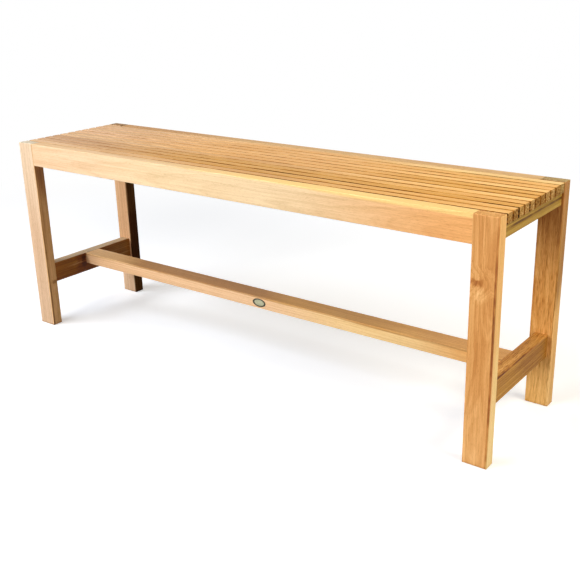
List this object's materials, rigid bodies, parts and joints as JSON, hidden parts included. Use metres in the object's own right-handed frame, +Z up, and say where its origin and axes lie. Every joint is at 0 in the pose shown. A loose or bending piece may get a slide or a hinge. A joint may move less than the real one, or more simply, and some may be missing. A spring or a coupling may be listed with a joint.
{
  "type": "slatted shower bench",
  "caption": "Long slatted wooden bench with flat legs, cross bearers and a low H-shaped stretcher.",
  "frame": {"origin": "on the floor, under the middle of the bench", "axes": "+X along the seat to the right, the front faces -Y, +Z up"},
  "size_m": [1.219, 0.305, 0.457],
  "materials": {
    "teak": "sanded and lightly oiled, satin",
    "screw_steel": "bright stainless",
    "plate_metal": "satin, darkened rim"
  },
  "bodies": {
    "root": {"leg_front_left": "teak", "leg_front_right": "teak", "leg_rear_left": "teak", "leg_rear_right": "teak", "long_rail_front": "teak", "long_rail_rear": "teak", "end_bearer_left": "teak", "end_bearer_right": "teak", "mid_bearer_left": "teak", "mid_bearer_right": "teak", "slat_01": "teak", "slat_02": "teak", "slat_03": "teak", "slat_04": "teak", "slat_05": "teak", "slat_06": "teak", "slat_07": "teak", "slat_08": "teak", "slat_09": "teak", "slat_10": "teak", "slat_11": "teak", "end_stretcher_left": "teak", "end_stretcher_right": "teak", "centre_stretcher": "teak", "slat_screws": "screw_steel", "oval_plate": "plate_metal"}
  },
  "joints": []
}
